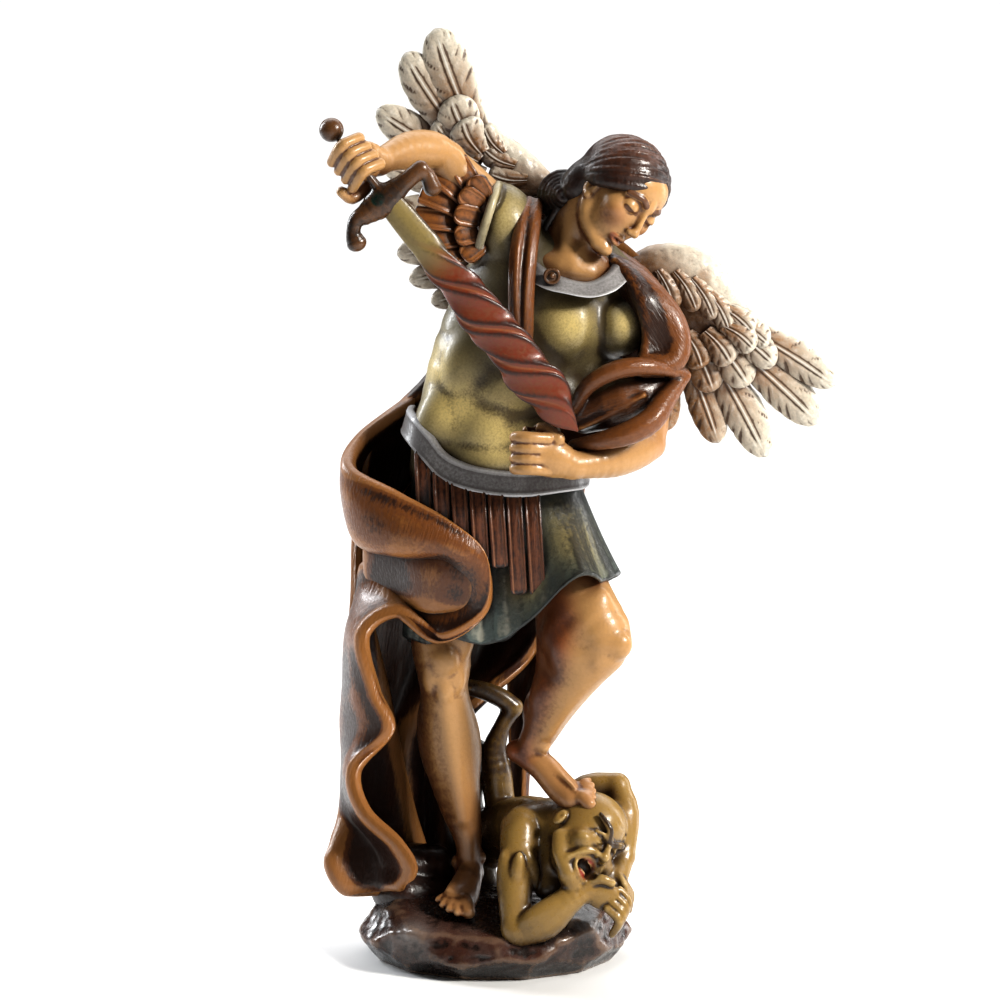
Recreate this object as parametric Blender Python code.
"""A winged archangel treading down a demon, on a rock base: a painted resin statuette, cast in one piece.

The figure is laid out on a drawing grid, as a carver squares up a front view. A drawn point holds how far it
is across, how deep it lies behind the grid, and how high it shows. The front view looks down a little, so a
point further back shows higher, and placing it takes that rise off again. Figures are shares of the figure's
own height, and the rock has sizes of its own. All forms are closed clay shapes that overlap. One voxel remesh
fuses them into a single skin, and a decimation thins its faces.
"""

import math

import bmesh
import bpy
import numpy as np
from mathutils import Matrix, Vector

# Driving sizes, in metres
FIGURE_HEIGHT = 0.190
ROCK_WIDTH = 0.0585
ROCK_DEPTH = 0.0560
ROCK_HEIGHT = 0.0145
CLOTH_THICKNESS = 0.0030
BLADE_THICKNESS = 0.0036
FEATHER_THICKNESS = 0.0034
POMMEL_DIAMETER = 0.0052

# The drawing grid: the figure is this many squares high above the rock's top
GRID_ROWS = 86.2
ROCK_TOP_ROW = 6.5
GRID = FIGURE_HEIGHT / GRID_ROWS
VIEW_TILT = math.radians(10)

# The skin: the remesh's cell, and how many triangles its faces are thinned to
VOXEL = 0.0006
TRIANGLES = 9400

DEEP_AXIS = np.array([0.0, 1.0, 0.0])
clay = bmesh.new()


def placed(points):
    """World places of drawn points (across, deep, shown height), with the rock's top under the figure."""
    p = np.asarray(points, float)
    height = (p[..., 2] - p[..., 1] * math.sin(VIEW_TILT)) / math.cos(VIEW_TILT)
    z = (height - ROCK_TOP_ROW) * GRID + ROCK_HEIGHT
    return np.stack([p[..., 0] * GRID, p[..., 1] * GRID, z], axis=-1)


def smooth_rows(rows, count):
    """A Catmull-Rom curve through the rows, read at evenly spaced stations."""
    rows = np.asarray(rows, float)
    padded = np.concatenate([2 * rows[:1] - rows[1:2], rows, 2 * rows[-1:] - rows[-2:-1]])
    t = np.linspace(0, len(rows) - 1, count)
    k = np.minimum(t.astype(int), len(rows) - 2)
    f = (t - k).reshape((-1,) + (1,) * (rows.ndim - 1))
    a, b, c, d = padded[k], padded[k + 1], padded[k + 2], padded[k + 3]
    return 0.5 * (2 * b + (c - a) * f + (2 * a - 5 * b + 4 * c - d) * f**2 + (3 * b - a - 3 * c + d) * f**3)


def unit(vectors):
    return vectors / np.maximum(np.linalg.norm(vectors, axis=-1, keepdims=True), 1e-12)


def add_rings(rings):
    """Closes a stack of rings of points into one clay body, with a pole at each end."""
    loops = [[clay.verts.new(p) for p in ring] for ring in rings]
    around = len(loops[0])
    for low, high in zip(loops, loops[1:]):
        for i in range(around):
            j = (i + 1) % around
            clay.faces.new((low[i], low[j], high[j], high[i]))
    clay.faces.new(loops[0][::-1])
    clay.faces.new(loops[-1])


def limb(stations, around=12, smooth=3):
    """A round-ended tube through stations of (across, deep, height, half width, half depth), in squares."""
    rows = smooth_rows(stations, smooth * (len(stations) - 1) + 1)
    centre = placed(rows[:, :3])
    wide, deep = rows[:, 3:4] * GRID, rows[:, 4:5] * GRID
    along = unit(np.gradient(centre, axis=0))
    back = unit(DEEP_AXIS - along * along[:, 1:2])
    side = np.cross(along, back)
    turn = np.linspace(0, 2 * math.pi, around, endpoint=False)
    cosine, sine = np.cos(turn)[:, None], np.sin(turn)[:, None]
    rings = []
    for end, sign in ((0, -1), (-1, 1)):
        dome = []
        for lift in (0.35, 0.7, 0.94):
            shrink = math.sqrt(1 - lift**2)
            middle = centre[end] + sign * lift * along[end] * min(wide[end, 0], deep[end, 0])
            dome.append(middle + shrink * (side[end] * wide[end] * cosine + back[end] * deep[end] * sine))
        rings.append(dome)
    body = [c + s * w * cosine + b * d * sine for c, s, b, w, d in zip(centre, side, back, wide, deep)]
    add_rings(rings[0][::-1] + body + rings[1])


def blob(centre, radii, turn=(0, 0, 0)):
    """An ellipsoid of clay: its drawn centre, its three radii in squares, and its turns in degrees."""
    place = Matrix.Translation(Vector(placed(centre)))
    turned = Matrix.Identity(4)
    for axis, angle in zip("XYZ", turn):
        turned = Matrix.Rotation(math.radians(angle), 4, axis) @ turned
    scaled = Matrix.Diagonal((*[r * GRID for r in radii], 1))
    bmesh.ops.create_uvsphere(
        clay, u_segments=14, v_segments=9, radius=1, matrix=place @ turned @ scaled
    )


def surface_normals(grid):
    return unit(np.cross(np.gradient(grid, axis=1), np.gradient(grid, axis=0)))


def sheet(rows, thickness=CLOTH_THICKNESS, fine=3):
    """Cloth of one thickness through rows of drawn points, smooth both ways and closed round its edge."""
    net = smooth_rows(rows, fine * (len(rows) - 1) + 1)
    net = smooth_rows(net.transpose(1, 0, 2), fine * (net.shape[1] - 1) + 1).transpose(1, 0, 2)
    grid = placed(net)
    normal = surface_normals(grid)
    half = thickness / 2
    tall, wide = grid.shape[:2]
    faces = [[[clay.verts.new(p) for p in row] for row in grid + side * half * normal] for side in (1, -1)]
    front, back = faces
    for i in range(tall - 1):
        for j in range(wide - 1):
            clay.faces.new((front[i][j], front[i][j + 1], front[i + 1][j + 1], front[i + 1][j]))
            clay.faces.new((back[i][j], back[i + 1][j], back[i + 1][j + 1], back[i][j + 1]))
    for i in range(tall - 1):
        for j, flip in ((0, 1), (wide - 1, -1)):
            quad = (front[i][j], front[i + 1][j], back[i + 1][j], back[i][j])
            clay.faces.new(quad[::flip])
    for j in range(wide - 1):
        for i, flip in ((0, -1), (tall - 1, 1)):
            quad = (front[i][j], front[i][j + 1], back[i][j + 1], back[i][j])
            clay.faces.new(quad[::flip])


def feather(root, tip, width, bow=0.0, thickness=FEATHER_THICKNESS):
    """A leaf-shaped vane from root to tip, with a raised rib. It swells, then rounds off at the tip."""
    start, end = placed(root), placed(tip)
    axis = end - start
    side = unit(np.cross(axis, DEEP_AXIS))
    lift = unit(np.cross(side, axis))
    rings = []
    for t in (0.0, 0.12, 0.3, 0.5, 0.7, 0.84, 0.93, 0.985):
        swell = (0.45 + 0.85 * t) * math.sqrt(max(1 - max(0, (t - 0.62) / 0.38) ** 2.4, 0.02))
        half = width / 2 * GRID * min(swell, 1.0)
        middle = start + axis * t + side * bow * GRID * math.sin(math.pi * t)
        edge = thickness / 2 * (0.45 if t < 0.9 else 0.35)
        rings.append(
            [
                middle - side * half,
                middle - side * half * 0.55 - lift * edge,
                middle - lift * edge * 2,
                middle + side * half * 0.55 - lift * edge,
                middle + side * half,
                middle + side * half * 0.55 + lift * edge,
                middle + lift * edge * 2,
                middle - side * half * 0.55 + lift * edge,
            ]
        )
    add_rings(rings)


def rock():
    """The base: a flat-bottomed boulder with chips. Each ray from its heart ends at the nearest facet."""
    heart = np.array([0.0, 0.0, 0.5])
    half_sizes = np.array([ROCK_WIDTH / 2, ROCK_DEPTH / 2, ROCK_HEIGHT])
    # Top, underside, the slopes down to the front and the back: bearing (270 is the front), slope, distance
    facets = [(0, 90, 0.50), (0, -90, 0.50), (262, 64, 0.58), (80, 72, 0.54)]
    # Chips round the side lean in and out by turns, and an undercut keeps the foot narrower than the brow
    for k in range(13):
        facets.append((200 + 360 / 13 * k, (18, -4, 9)[k % 3], (0.95, 0.99, 0.96)[k % 3]))
    facets += [(30 * k, -25, 1.0) for k in range(12)]
    bearing, slope, reach = np.array(facets).T
    bearing, slope = np.radians(bearing), np.radians(slope)
    flat = np.cos(slope)
    normals = np.stack([np.cos(bearing) * flat, np.sin(bearing) * flat, np.sin(slope)], axis=-1)
    rings = []
    for rise in np.radians(np.linspace(-88, 88, 26)):
        turn = np.linspace(0, 2 * math.pi, 48, endpoint=False)
        level, height = math.cos(rise), math.sin(rise)
        rays = np.stack([level * np.cos(turn), level * np.sin(turn), 0 * turn + height], axis=-1)
        facing = np.maximum(rays @ normals.T, 1e-3)
        rings.append((heart + rays * (reach / facing).min(axis=1)[:, None]) * half_sizes)
    add_rings(rings)


def demon():
    """He lies face down with his chin on his forearms. His shins stand up behind the angel's legs."""
    # Trunk, shoulders and neck
    limb([(6.0, -4.5, 12.4, 3.4, 2.6), (3.5, -1.0, 12.6, 3.8, 3.0), (0.8, 3.0, 12.2, 3.2, 2.8)])
    blob((4.8, -5.2, 13.4), (2.6, 2.4, 2.2))
    limb([(5.0, -4.5, 13.0, 2.0, 2.0), (8.0, -7.0, 12.6, 2.2, 2.2)])
    # Skull, jaw, brow, nose, cheeks, ear and the lips round the open mouth
    blob((10.0, -7.6, 12.8), (3.9, 3.9, 4.1), (0, 40, 0))
    blob((7.9, -9.0, 10.3), (2.7, 2.7, 2.6), (0, 40, 0))
    limb([(9.6, -11.3, 13.9, 0.6, 0.8), (10.9, -11.3, 12.3, 0.6, 0.8), (11.6, -10.9, 10.8, 0.6, 0.8)])
    limb([(10.7, -11.5, 11.9, 0.5, 0.6), (9.6, -12.1, 11.0, 0.75, 0.8)])
    blob((8.0, -11.0, 11.9), (1.1, 0.9, 1.1))
    blob((10.2, -10.7, 9.1), (0.9, 0.9, 1.1))
    blob((6.3, -7.2, 13.6), (0.9, 0.8, 1.2), (0, 40, 0))
    lips = [(7.2, -11.2, 10.7), (8.6, -11.9, 10.0), (9.2, -11.4, 8.8), (8.0, -11.4, 8.2), (6.8, -11.0, 9.2)]
    for here, there in zip(lips, lips[1:] + lips[:1]):
        limb([(*here, 0.42, 0.5), (*there, 0.42, 0.5)], around=8, smooth=1)
    # Right arm: down to the elbow over the rock's edge, then the forearm under the chin
    limb(
        [(2.2, -5.5, 13.2, 2.0, 2.0), (2.4, -7.6, 11.0, 2.3, 2.1), (2.0, -9.6, 7.2, 2.2, 2.0),
         (1.9, -10.9, 3.6, 1.9, 1.9), (3.0, -11.0, 2.6, 1.9, 1.8)]
    )
    limb(
        [(2.6, -11.0, 2.8, 1.8, 1.9), (4.9, -11.6, 3.9, 2.2, 1.9), (7.0, -11.6, 5.6, 1.7, 1.6),
         (9.0, -11.2, 7.0, 1.2, 1.1)]
    )
    blob((4.0, -9.0, 8.6), (1.1, 1.2, 2.4), (0, -8, 0))
    # Left arm: bent up behind the head, and its hand beside the other
    limb([(6.5, -3.0, 14.0, 1.9, 1.8), (9.3, -2.2, 16.6, 1.6, 1.5), (12.5, -2.6, 17.2, 1.35, 1.3)])
    limb([(12.6, -2.8, 17.0, 1.3, 1.3), (13.0, -4.2, 14.0, 1.5, 1.4), (12.9, -6.5, 10.2, 1.2, 1.2)])
    limb([(12.6, -6.8, 10.0, 1.1, 1.1), (12.3, -9.0, 7.8, 1.3, 0.8), (12.8, -10.0, 5.8, 1.0, 0.6)])
    # Right hand and its fingers, curled over the rock
    limb([(9.0, -11.2, 7.0, 1.2, 0.9), (10.8, -11.2, 6.2, 1.5, 0.8)])
    for k in range(4):
        knuckle, reach = (11.0 + 0.5 * k, -11.6 + 0.5 * k, 5.4 + 0.75 * k), 1.2 - 0.15 * k
        bend = (knuckle[0] + reach, knuckle[1] + 0.1, knuckle[2] - 0.9)
        nail = (bend[0] - 0.35, bend[1] + 0.3, bend[2] - 2.0 + 0.15 * k)
        limb([(*knuckle, 0.5, 0.5), (*bend, 0.48, 0.48), (*nail, 0.36, 0.36)], around=8, smooth=2)
    # Shins and feet
    limb(
        [(0.8, 3.4, 13.4, 1.7, 1.7), (0.3, 3.6, 17.2, 1.6, 1.8), (-0.1, 3.6, 20.2, 1.35, 1.5),
         (0.6, 3.6, 23.2, 0.9, 1.0), (1.5, 3.7, 24.8, 1.0, 1.1)]
    )
    limb([(1.9, 3.6, 25.3, 1.0, 1.1), (-0.2, 3.4, 26.2, 1.1, 1.1), (-2.6, 3.2, 27.0, 1.0, 0.8)])


def angel_legs():
    """The right leg bears the weight on the rock. The left is drawn up, with its foot on the demon's head."""
    limb(
        [(-4.2, 0.4, 42.0, 4.2, 4.2), (-5.4, -1.8, 33.0, 3.2, 3.4), (-5.2, -2.6, 29.6, 3.0, 3.1),
         (-5.1, -2.4, 26.9, 2.65, 2.8), (-4.7, -1.5, 23.4, 3.05, 3.1), (-4.3, -1.0, 19.6, 2.95, 3.1),
         (-3.6, -0.9, 15.6, 2.35, 2.5), (-2.8, -1.0, 12.2, 1.7, 1.9), (-2.6, -1.0, 9.8, 1.35, 1.7),
         (-2.6, -0.6, 8.4, 1.5, 1.9)]
    )
    blob((-4.9, -5.0, 29.6), (1.7, 0.9, 1.8))
    standing = [(-2.4, 0.9, 7.8, 1.4, 1.1), (-2.7, -2.6, 7.5, 1.6, 1.3), (-3.4, -5.6, 5.9, 2.0, 1.0)]
    limb(standing)
    toes(
        standing[-1][:3],
        [(-2.7, -8.4, 4.7), (-3.7, -8.4, 4.6), (-4.5, -8.0, 4.9), (-5.2, -7.4, 5.3), (-5.7, -6.7, 5.8)]
    )
    limb(
        [(3.4, -0.5, 43.0, 4.4, 4.6), (6.6, -3.6, 39.0, 4.2, 4.4), (9.0, -6.2, 35.0, 3.8, 3.9),
         (10.6, -7.8, 31.6, 3.2, 3.1), (9.2, -7.0, 29.0, 3.1, 3.0), (7.1, -5.6, 27.3, 3.2, 3.1),
         (5.7, -4.6, 25.2, 2.9, 2.9), (4.7, -4.0, 23.0, 2.2, 2.3), (3.7, -3.8, 21.4, 1.8, 1.9)]
    )
    blob((11.8, -9.4, 31.2), (1.8, 1.3, 1.9))
    blob((2.3, -3.2, 20.6), (1.2, 1.3, 1.1))
    treading = [(2.6, -3.6, 20.4, 1.2, 1.4), (4.9, -4.7, 19.0, 1.75, 1.7), (6.7, -6.0, 16.9, 1.75, 1.5),
                (7.6, -6.9, 15.9, 1.5, 1.4)]
    limb(treading)
    toes(
        treading[-1][:3],
        [(9.3, -8.6, 15.6), (9.6, -7.9, 16.2), (9.7, -7.2, 16.8), (9.6, -6.5, 17.4), (9.3, -5.9, 17.9)]
    )


def toes(ball, tips):
    """Five toes from the ball of a foot. The great toe comes first and is the thickest."""
    ball = np.array(ball)
    for k, tip in enumerate(tips):
        tip = np.array(tip)
        thick = 0.72 if k == 0 else 0.5 - 0.03 * k
        root = ball + (tip - ball) * 0.25
        knuckle = ball + (tip - ball) * 0.7 + np.array([0, 0, 0.25])
        stations = [(*root, thick, thick), (*knuckle, thick, thick), (*tip, thick * 0.9, thick * 0.9)]
        limb(stations, around=8, smooth=2)


def angel_trunk():
    """Pelvis, waist and chest in a muscled cuirass, leaning to one side, with the shoulder raised."""
    limb(
        [(0.2, -0.4, 44.5, 8.2, 6.4), (-0.7, -0.6, 49.7, 8.0, 6.2), (-0.6, -0.8, 54.2, 7.1, 5.7),
         (1.0, -0.8, 58.9, 7.8, 6.1), (4.2, -0.8, 63.4, 9.3, 6.6), (6.9, -0.4, 67.0, 8.6, 5.8),
         (8.0, 0.2, 69.4, 6.0, 4.4)],
        around=18,
    )
    limb(
        [(2.6, -1.4, 67.0, 4.6, 5.0), (1.6, -1.4, 70.6, 3.6, 4.2), (0.9, -1.2, 74.2, 2.7, 3.4),
         (0.4, -1.0, 76.2, 1.6, 2.6)]
    )
    limb([(9.0, 0.2, 68.4, 4.0, 3.6), (13.4, -0.4, 66.4, 3.4, 3.6)])
    # Breast muscles, the arch of the ribs and the belly
    blob((6.4, -5.6, 61.9), (3.9, 2.2, 3.2), (0, 15, 0))
    blob((12.6, -4.8, 62.2), (3.2, 2.2, 2.8), (0, 15, 0))
    blob((1.6, -5.4, 56.2), (3.0, 1.9, 3.6), (0, 20, 0))
    blob((0.4, -5.2, 51.6), (4.2, 2.2, 3.4), (0, 15, 0))
    # The rim round the raised armhole and the band at the neck
    rim = [(-1.9, -3.6, 69.6), (-1.4, -3.4, 73.0), (0.1, -2.2, 76.2), (1.6, 0.4, 76.4)]
    limb([(*p, 0.5, 0.6) for p in rim])
    limb(
        [(4.3, -4.8, 69.6, 0.9, 0.9), (6.2, -6.3, 67.0, 1.0, 0.9), (8.8, -6.9, 66.2, 1.0, 0.9),
         (11.2, -6.2, 66.7, 1.0, 0.9), (12.6, -4.4, 68.0, 0.8, 0.8)]
    )
    blob((5.7, -6.9, 67.9), (0.85, 0.5, 0.85))


def belt():
    """The cuirass's lower edge: a flat band, higher on the right hip."""
    limb(
        [(-8.5, 1.0, 54.4, 1.0, 0.9), (-8.3, -2.0, 52.9, 1.05, 0.8), (-6.6, -4.8, 51.0, 1.1, 0.8),
         (-4.0, -6.6, 49.0, 1.1, 0.8), (-1.0, -7.4, 47.9, 1.1, 0.8), (2.0, -7.5, 47.5, 1.1, 0.8),
         (5.0, -6.6, 47.6, 1.1, 0.8), (8.0, -3.6, 48.2, 1.1, 0.8)]
    )


def skirt_ring(drop, fold=0.0):
    """Drawn points round the tunic, from the waist (drop 0) to the hem (drop 1), higher over the thigh."""
    turn = np.linspace(0, 2 * math.pi, 40, endpoint=False)
    x = 0.2 + 1.5 * drop + (8.4 + 1.9 * drop) * np.cos(turn)
    y = -0.6 - 0.8 * drop + (6.2 + 1.0 * drop) * np.sin(turn)
    thigh = np.clip((x - 0.5) / 8, 0, 1) ** 2 * (3 - 2 * np.clip((x - 0.5) / 8, 0, 1))
    y = y - 2.2 * drop * thigh * np.clip(-np.sin(turn), 0, 1)
    pleat = fold * drop * np.cos(9 * turn + 0.6)
    x, y = x + pleat * np.cos(turn), y + pleat * np.sin(turn)
    waist = 49.9 - 0.27 * x + 0.27 * y
    hem = 32.2 + 6.2 * thigh
    return np.stack([x, y, waist + (hem - waist) * drop], axis=-1)


def skirt():
    """The tunic below the belt: it hangs low in front and rides up over the raised thigh."""
    add_rings([placed(skirt_ring(drop, 0.35)) for drop in np.linspace(0, 1, 7)])
    hem = skirt_ring(1.0, 0.35)
    limb([(*p, 0.5, 0.5) for p in np.vstack([hem, hem[:1]])], around=8, smooth=1)
    # Leather straps hang from the belt over the front
    for k in range(7):
        top = np.array((-7.0 + 1.75 * k, -5.6 - 1.5 * math.sin(math.pi * (k + 1) / 8), 50.6 - 0.62 * k))
        low = top + (0.55 + 0.16 * k, -1.9, -9.0 - 0.45 * k)
        middle = (top + low) / 2 - (0, 0.4, 0)
        limb([(*top, 0.75, 0.45), (*middle, 0.8, 0.45), (*low, 0.8, 0.45)], around=8, smooth=2)


def right_arm():
    """Raised and bent over the head's side, its upper arm under a fan of leather tabs."""
    limb([(1.0, -1.0, 73.6, 2.8, 3.0), (-2.0, -1.8, 76.6, 2.6, 2.6), (-5.0, -3.0, 79.6, 2.2, 2.2)])
    limb(
        [(-5.0, -3.2, 79.9, 1.5, 1.8), (-6.6, -4.4, 80.5, 1.95, 2.0), (-8.4, -6.2, 80.3, 2.0, 2.0),
         (-10.2, -8.6, 79.6, 1.6, 1.6), (-11.4, -10.2, 78.9, 1.45, 1.5)]
    )
    # Straps fan out from the armhole, over a row of scalloped tabs
    for k in range(6):
        angle = math.radians(122 + 20 * k)
        root = (-1.4 + 1.3 * math.cos(angle), -3.4, 73.0 + 2.8 * math.sin(angle))
        tip = (-2.6 + 5.4 * math.cos(angle), -4.0, 74.2 + 6.2 * math.sin(angle))
        limb([(*root, 0.8, 0.5), (*tip, 1.15, 0.5)], around=8, smooth=2)
    for k in range(5):
        blob((-2.4 + 0.25 * (k - 2) ** 2, -4.2, 70.2 + 1.5 * k), (0.95, 0.5, 0.75))
    # Fist round the grip
    blob((-13.0, -11.6, 78.0), (2.1, 1.7, 2.1), (0, 50, 0))
    for k in range(4):
        shift = np.array([0.55, 0.0, -0.67]) * (1.15 * (k - 1.35))
        knuckle = np.array([-12.0, -13.0, 79.0]) + shift
        tip = np.array([-14.4, -12.6, 77.4]) + shift
        bend = (knuckle + tip) / 2 - [0, 0.5, 0]
        limb([(*knuckle, 0.6, 0.6), (*bend, 0.62, 0.62), (*tip, 0.55, 0.6)], around=8, smooth=2)
    limb([(-13.2, -11.0, 76.0, 0.6, 0.6), (-14.6, -12.2, 75.4, 0.6, 0.6)], around=8)


def sword():
    """Ball pommel, cross-guard with drooping ends, and a blade that turns into a tongue of flame."""
    pommel, tip = np.array([-15.9, -12.2, 81.9]), np.array([8.0, -12.4, 52.8])
    down = tip - pommel
    ball = POMMEL_DIAMETER / 2 / GRID
    blob(pommel, (ball, ball, ball))
    limb([(*pommel, 0.55, 0.55), (*(pommel + down * 0.22), 0.7, 0.7)], around=8)
    limb(
        [(-13.6, -12.6, 71.8, 0.75, 0.7), (-12.9, -12.5, 73.6, 0.6, 0.6), (-11.0, -12.2, 75.1, 0.95, 0.95),
         (-8.9, -11.8, 76.9, 0.7, 0.7), (-7.0, -11.2, 78.0, 0.8, 0.8)]
    )
    limb([(-6.9, -11.2, 78.0, 0.7, 0.7), (-6.3, -11.2, 76.6, 0.9, 0.8)])
    # Half widths along the blade: straight steel, then the swell of the flame, then the point
    half_widths = [(0.20, 1.05), (0.26, 1.35), (0.40, 1.5), (0.52, 1.7), (0.62, 2.0), (0.72, 1.9),
                   (0.80, 2.1), (0.88, 1.95), (0.95, 1.35), (0.99, 0.5)]
    thick = BLADE_THICKNESS / 2 / GRID
    limb([(*(pommel + down * s), w, min(w, thick)) for s, w in half_widths], around=10)


def left_arm():
    """Held across the body, with a fist that once gripped something: a hole is left through it."""
    limb([(13.6, -0.6, 66.2, 3.2, 3.4), (15.2, -2.2, 60.0, 2.9, 3.0), (15.2, -4.2, 53.2, 2.3, 2.5)])
    limb(
        [(15.0, -4.8, 51.4, 2.0, 2.3), (13.6, -6.4, 50.8, 2.2, 2.3), (11.6, -8.2, 50.0, 2.1, 2.1),
         (9.4, -9.8, 49.4, 1.65, 1.7), (7.6, -10.8, 49.3, 1.5, 1.5)]
    )
    limb([(7.4, -10.8, 49.4, 1.6, 1.5), (5.6, -11.2, 50.3, 2.2, 1.7), (3.8, -11.2, 50.9, 2.0, 1.7)])
    for k in range(4):
        height = 52.1 - 1.05 * k
        root, bend, tip = (4.0, -12.4, height + 0.1), (2.3 + 0.1 * k, -11.6, height), (2.6, -10.2, height)
        limb([(*root, 0.5, 0.5), (*bend, 0.55, 0.55), (*tip, 0.5, 0.5)], around=8, smooth=2)


def neck_and_head():
    """The head bows and leans to the angel's left, looking down at the demon."""
    limb([(8.0, -0.6, 67.6, 3.6, 3.0), (9.0, -1.6, 71.4, 2.9, 2.9), (10.6, -2.2, 74.6, 2.9, 3.0)])
    tilt = (12, 38, 0)
    blob((12.4, -2.6, 76.9), (4.7, 5.0, 4.9), tilt)
    blob((12.6, -4.9, 75.2), (3.3, 3.6, 4.6), tilt)
    blob((10.8, -6.0, 71.9), (1.7, 1.7, 1.4), tilt)
    nose = [(15.0, -8.3, 75.2, 0.35, 0.4), (14.2, -9.3, 73.6, 0.5, 0.6)]
    brow = [(13.2, -8.3, 76.6, 0.5, 0.4), (15.2, -8.2, 75.5, 0.5, 0.5), (16.6, -7.2, 74.2, 0.5, 0.4)]
    lips = [(11.8, -7.9, 71.9, 0.35, 0.4), (13.0, -8.3, 71.6, 0.4, 0.5), (13.9, -7.8, 71.0, 0.3, 0.4)]
    for feature in (nose, brow, lips):
        limb(feature, around=8, smooth=2)
    blob((9.3, -3.6, 76.8), (0.5, 0.7, 1.1), (0, 20, 0))


def hair():
    """Parted and swept back in thick locks to a knot behind the ear, with one lock on the neck."""
    blob((12.4, -1.6, 78.0), (5.4, 5.2, 4.6), (0, 32, 0))
    for k in range(6):
        lift = k / 5
        brow = (17.6 - 2.4 * lift, -5.6 + 2.2 * lift, 77.0 + 2.4 * lift)
        crown = (12.6 - 1.4 * lift, -5.9 + 5.6 * lift, 80.2 + 2.0 * lift)
        temple = (9.0 - 1.8 * lift, -4.6 + 4.4 * lift, 79.4 + 0.8 * lift)
        knot = (6.6 - 0.5 * lift, -2.6 + 3.0 * lift, 77.2)
        limb([(*brow, 0.75, 0.6), (*crown, 0.95, 0.8), (*temple, 0.95, 0.8), (*knot, 0.9, 0.8)], around=8)
    blob((6.8, -1.4, 76.3), (2.0, 2.2, 2.1))
    limb(
        [(6.0, -2.6, 77.6, 0.7, 0.7), (5.4, -3.0, 75.6, 0.8, 0.8), (6.8, -3.2, 74.2, 0.8, 0.8),
         (8.4, -3.0, 75.0, 0.7, 0.7)],
        around=8,
    )
    limb([(6.6, -1.0, 75.2, 1.4, 1.4), (5.2, -0.8, 72.8, 1.4, 1.4), (4.9, -0.6, 71.0, 0.9, 0.9)])


def shoulder_cloth():
    """The cloak comes over the right shoulder in a twist, and wraps the left one like a shell."""
    limb(
        [(3.0, -2.6, 74.5, 0.9, 0.8), (1.9, -5.6, 71.2, 1.0, 0.9), (1.5, -7.2, 67.0, 1.1, 1.0),
         (2.0, -8.2, 62.4, 1.0, 1.0)]
    )
    limb(
        [(4.1, -2.6, 74.2, 0.9, 0.8), (3.8, -5.8, 70.6, 1.0, 1.0), (3.4, -7.6, 66.0, 1.1, 1.0),
         (2.9, -8.4, 61.4, 1.1, 1.0)]
    )
    shell = [
        [(10.6, -3.6, 70.4), (11.6, -2.0, 71.2), (12.4, 0.4, 71.4), (12.6, 3.0, 70.6)],
        [(11.9, -5.0, 67.6), (13.8, -3.2, 68.4), (15.0, -2.6, 68.6), (15.6, 1.6, 67.8)],
        [(13.2, -5.6, 64.8), (15.4, -3.4, 65.2), (17.6, -4.4, 65.4), (18.4, 0.0, 65.0)],
        [(14.2, -6.0, 62.0), (16.2, -3.6, 62.2), (18.6, -5.2, 62.4), (19.4, -1.4, 62.2)],
        [(14.8, -6.4, 59.6), (16.4, -4.4, 59.8), (17.6, -5.8, 59.8), (18.6, -2.6, 59.4)],
    ]
    sheet(shell)
    # Folds over the forearm
    limb(
        [(8.2, -8.8, 55.6, 1.2, 1.3), (11.4, -9.0, 57.6, 1.7, 1.5), (15.2, -8.0, 58.2, 1.4, 1.4),
         (18.4, -5.4, 58.6, 1.0, 1.2)]
    )
    limb(
        [(8.4, -9.0, 52.6, 0.9, 1.1), (12.0, -9.8, 53.6, 1.6, 1.5), (15.2, -9.0, 55.0, 1.9, 1.8),
         (16.4, -6.2, 55.0, 1.5, 1.8)]
    )
    limb([(9.0, -7.6, 54.6, 1.6, 1.6), (13.0, -7.2, 56.0, 2.4, 2.4), (16.0, -5.0, 57.0, 2.0, 2.4)])
    # The panel at the armhole, under the breast
    limb([(9.6, -6.6, 58.4, 0.5, 0.5), (10.6, -7.2, 60.6, 0.6, 0.6), (14.6, -6.6, 59.6, 0.5, 0.5)], around=8)


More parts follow.
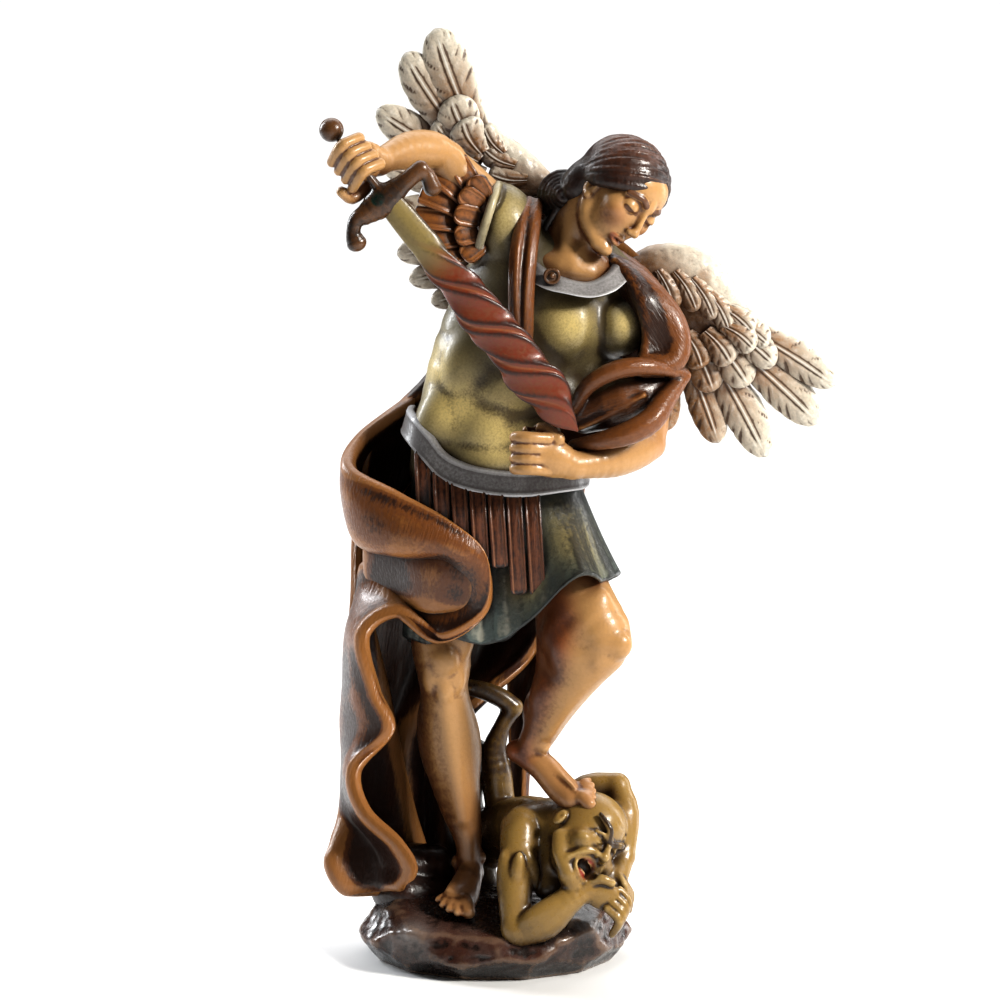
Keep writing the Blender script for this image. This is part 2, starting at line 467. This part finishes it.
def cloak_back():
    """The cloak's back: from the shoulders down behind the legs, parting below the knees."""
    back = [
        [(3.6, 3.4, 73.4), (6.5, 4.6, 73.8), (9.5, 5.0, 73.2), (12.4, 4.4, 72.0), (15.0, 3.0, 69.8)],
        [(-2.6, 3.6, 65.8), (1.0, 6.0, 66.0), (6.5, 7.4, 66.0), (11.5, 6.8, 65.4), (16.0, 3.6, 64.8)],
        [(-6.8, 3.8, 58.2), (-4.0, 7.0, 57.6), (2.5, 8.4, 57.6), (8.5, 7.8, 57.0), (13.5, 4.6, 56.4)],
        [(-12.6, 2.0, 52.0), (-9.5, 6.8, 50.0), (-2.5, 8.8, 49.6), (4.5, 8.6, 49.4), (9.4, 4.8, 48.8)],
        [(-13.8, 0.4, 44.4), (-12.0, 6.2, 43.0), (-4.5, 9.2, 42.6), (3.0, 8.8, 42.4), (8.4, 4.4, 43.0)],
        [(-14.0, 0.4, 37.0), (-12.5, 6.4, 36.0), (-5.5, 9.4, 35.6), (2.0, 8.6, 35.6), (6.6, 4.4, 35.8)],
        [(-14.5, 0.2, 30.0), (-13.3, 6.4, 29.0), (-6.5, 9.0, 28.6), (-0.5, 8.4, 29.0), (3.2, 5.2, 29.6)],
        [(-15.0, -0.6, 24.0), (-13.8, 6.0, 22.6), (-9.0, 8.4, 21.8), (-5.4, 7.6, 22.0), (-3.2, 5.6, 23.4)],
        [(-14.6, -0.2, 16.4), (-13.3, 5.8, 15.2), (-9.4, 7.8, 14.8), (-5.6, 7.4, 14.6), (-2.8, 5.4, 14.8)],
        [(-15.8, -1.6, 11.0), (-14.0, 5.4, 10.2), (-9.5, 7.4, 9.8), (-5.0, 7.0, 9.8), (-1.8, 5.0, 10.2)],
        [(-15.0, -1.4, 7.6), (-13.0, 5.0, 6.8), (-9.5, 6.8, 6.6), (-4.5, 6.6, 6.6), (-1.6, 4.8, 7.0)],
    ]
    sheet(back)
    tail = [
        [(1.2, 8.2, 34.0), (4.6, 6.8, 33.6), (7.0, 4.2, 35.0)],
        [(1.2, 7.6, 27.0), (3.4, 6.8, 26.8), (5.2, 5.0, 28.0)],
        [(1.4, 6.2, 20.0), (2.4, 6.0, 20.0), (3.6, 5.2, 20.4)],
        [(1.4, 5.0, 13.6), (2.2, 4.8, 13.4), (3.2, 4.4, 13.6)],
    ]
    sheet(tail)


def cloak_front():
    """The cloak's free edge: it sweeps over the right hip, curls under, and falls in S-bends to the rock."""
    # Each row runs from the free hem back to where the cloth passes behind the figure
    sweep = [
        [(-8.0, 3.4, 56.4), (-7.6, 4.6, 55.6), (-5.8, 5.8, 55.0), (-3.6, 6.2, 54.4)],
        [(-13.4, -0.2, 52.4), (-13.6, 2.0, 49.4), (-12.4, 3.6, 46.6), (-9.5, 4.8, 46.0)],
        [(-14.2, -4.0, 49.4), (-14.5, -4.2, 46.4), (-13.8, -3.6, 42.6), (-12.2, -1.0, 41.8)],
        [(-9.4, -7.0, 46.7), (-10.0, -8.4, 44.0), (-10.0, -8.0, 41.2), (-9.0, -4.4, 40.8)],
        [(-4.6, -8.8, 43.8), (-4.9, -10.0, 42.2), (-4.8, -9.7, 40.9), (-5.4, -6.4, 40.0)],
        [(-0.9, -9.7, 40.3), (-1.7, -10.0, 39.8), (-2.7, -9.2, 39.0), (-4.6, -6.8, 37.9)],
        [(-0.6, -9.4, 35.1), (-1.9, -8.8, 35.7), (-4.0, -6.9, 36.1), (-6.0, -5.6, 36.7)],
        [(-5.2, -8.4, 31.9), (-6.2, -6.8, 33.4), (-7.6, -5.3, 35.5), (-9.3, -3.6, 37.4)],
        [(-9.5, -7.2, 34.6), (-10.5, -4.6, 35.8), (-11.9, -2.2, 37.6), (-13.1, -0.8, 39.9)],
        [(-12.9, -6.4, 32.4), (-13.8, -3.6, 32.8), (-14.2, 0.4, 33.6), (-12.6, 4.2, 34.6)],
        [(-11.6, -6.3, 27.0), (-13.8, -4.0, 27.0), (-14.6, 1.6, 27.2), (-10.8, 5.5, 27.4)],
        [(-10.0, -7.0, 23.0), (-13.2, -4.6, 23.2), (-14.9, 1.6, 23.4), (-10.0, 5.6, 23.4)],
        [(-13.8, -6.2, 19.0), (-14.6, -3.6, 18.9), (-14.4, 1.6, 18.5), (-9.0, 5.6, 18.4)],
        [(-12.9, -6.7, 14.9), (-14.4, -3.4, 14.7), (-14.3, 1.8, 14.2), (-7.8, 5.6, 13.6)],
        [(-9.2, -7.6, 11.4), (-14.0, -5.4, 10.6), (-16.2, -0.4, 10.2), (-6.4, 5.6, 9.4)],
        [(-8.2, -7.4, 9.3), (-13.0, -5.6, 7.7), (-15.0, -0.4, 8.0), (-6.0, 5.6, 7.4)],
    ]
    sheet(sweep, fine=3)
    # The foot of the cloak is filled where it meets the rock and the standing leg
    limb([(-12.6, 0.4, 9.2, 2.0, 3.0), (-9.0, 1.6, 9.0, 2.6, 3.4), (-5.4, 1.6, 9.4, 2.4, 3.0)])
    limb([(-9.6, -0.6, 6.4, 3.4, 4.6), (-5.0, 1.0, 6.4, 3.4, 4.6)])


def wing(arm, quills, lift):
    """A wing: its fleshy arm, then three tiers of feathers, each shorter than the last and laid over it."""
    limb(arm)
    for tier, reach in enumerate((1.0, 0.56, 0.3)):
        for root, tip, width in quills[: len(quills) - tier]:
            root, tip = np.array(root, float), np.array(tip, float)
            raised = np.array([0, -lift * tier, 0])
            feather(root + raised, root + (tip - root) * reach + raised, width * (1 - 0.08 * tier), 0.3)


def raised_wing():
    """The right wing stands up behind the arm."""
    arm = [(4.8, 4.2, 68.6, 2.2, 1.8), (5.0, 4.6, 72.5, 2.4, 1.8), (4.4, 4.8, 76.2, 2.8, 1.8),
           (2.2, 4.8, 79.4, 2.8, 1.6), (-0.8, 4.6, 82.4, 2.4, 1.4), (-3.2, 4.4, 85.6, 2.0, 1.1)]
    quills = [((-1.6, 4.0, 81.6), (-6.0, 4.8, 92.8), 4.2), ((-1.8, 4.6, 80.6), (-8.8, 5.0, 90.2), 4.4),
              ((-1.6, 5.0, 79.4), (-11.6, 5.2, 84.6), 4.0), ((-0.6, 5.0, 77.6), (-11.0, 5.2, 79.4), 3.8),
              ((0.4, 5.0, 75.4), (-10.4, 5.0, 74.6), 3.8), ((1.2, 4.8, 73.2), (-9.6, 4.8, 70.4), 3.4),
              ((2.0, 4.6, 71.2), (-8.4, 4.6, 67.8), 3.2), ((2.8, 4.4, 69.4), (-6.2, 4.4, 65.6), 3.0)]
    wing(arm, quills, 0.9)


def spread_wing():
    """The left wing opens to the side."""
    arm = [(13.4, 4.0, 67.0, 2.4, 1.8), (16.2, 4.2, 68.8, 2.8, 2.0), (19.6, 4.2, 68.0, 3.2, 1.9),
           (22.6, 4.0, 65.2, 2.9, 1.6), (25.2, 3.8, 61.8, 2.2, 1.2)]
    quills = [((23.6, 3.4, 63.8), (34.0, 3.0, 57.6), 3.6), ((22.0, 3.8, 62.8), (32.4, 3.4, 53.8), 4.2),
              ((20.0, 4.2, 62.8), (27.2, 3.8, 50.4), 4.2), ((18.0, 4.6, 62.4), (22.4, 4.2, 51.8), 3.6),
              ((16.2, 5.0, 61.6), (17.4, 4.6, 52.8), 3.0)]
    limb([(16.0, 4.8, 63.6, 2.8, 1.4), (20.4, 4.6, 62.8, 2.8, 1.3), (23.6, 4.2, 61.8, 2.2, 1.0)])
    wing(arm, quills, 0.8)


def resin():
    material = bpy.data.materials.new("painted_resin")
    material.use_nodes = True
    shader = material.node_tree.nodes["Principled BSDF"]
    shader.inputs["Base Color"].default_value = (0.36, 0.19, 0.09, 1)
    shader.inputs["Roughness"].default_value = 0.35
    shader.inputs["Metallic"].default_value = 0.0
    return material


def build():
    """All forms go into one clay mesh. The modifiers turn it into a single closed, flat-bottomed skin."""
    for thing in list(bpy.data.objects):
        bpy.data.objects.remove(thing)
    for form in (rock, demon, angel_legs, angel_trunk, belt, skirt, right_arm, sword, left_arm, neck_and_head,
                 hair, shoulder_cloth, cloak_back, cloak_front, raised_wing, spread_wing):
        form()
    bmesh.ops.recalc_face_normals(clay, faces=clay.faces)
    mesh = bpy.data.meshes.new("statue")
    clay.to_mesh(mesh)
    clay.free()
    mesh.materials.append(resin())
    statue = bpy.data.objects.new("statue", mesh)
    bpy.context.scene.collection.objects.link(statue)
    fuse = statue.modifiers.new("fuse", "REMESH")
    fuse.mode = "VOXEL"
    fuse.voxel_size = VOXEL
    soften = statue.modifiers.new("soften", "SMOOTH")
    soften.iterations = 2
    fused = statue.evaluated_get(bpy.context.evaluated_depsgraph_get()).data
    thin = statue.modifiers.new("thin", "DECIMATE")
    thin.ratio = TRIANGLES / sum(len(face.vertices) - 2 for face in fused.polygons)
    return statue


build()
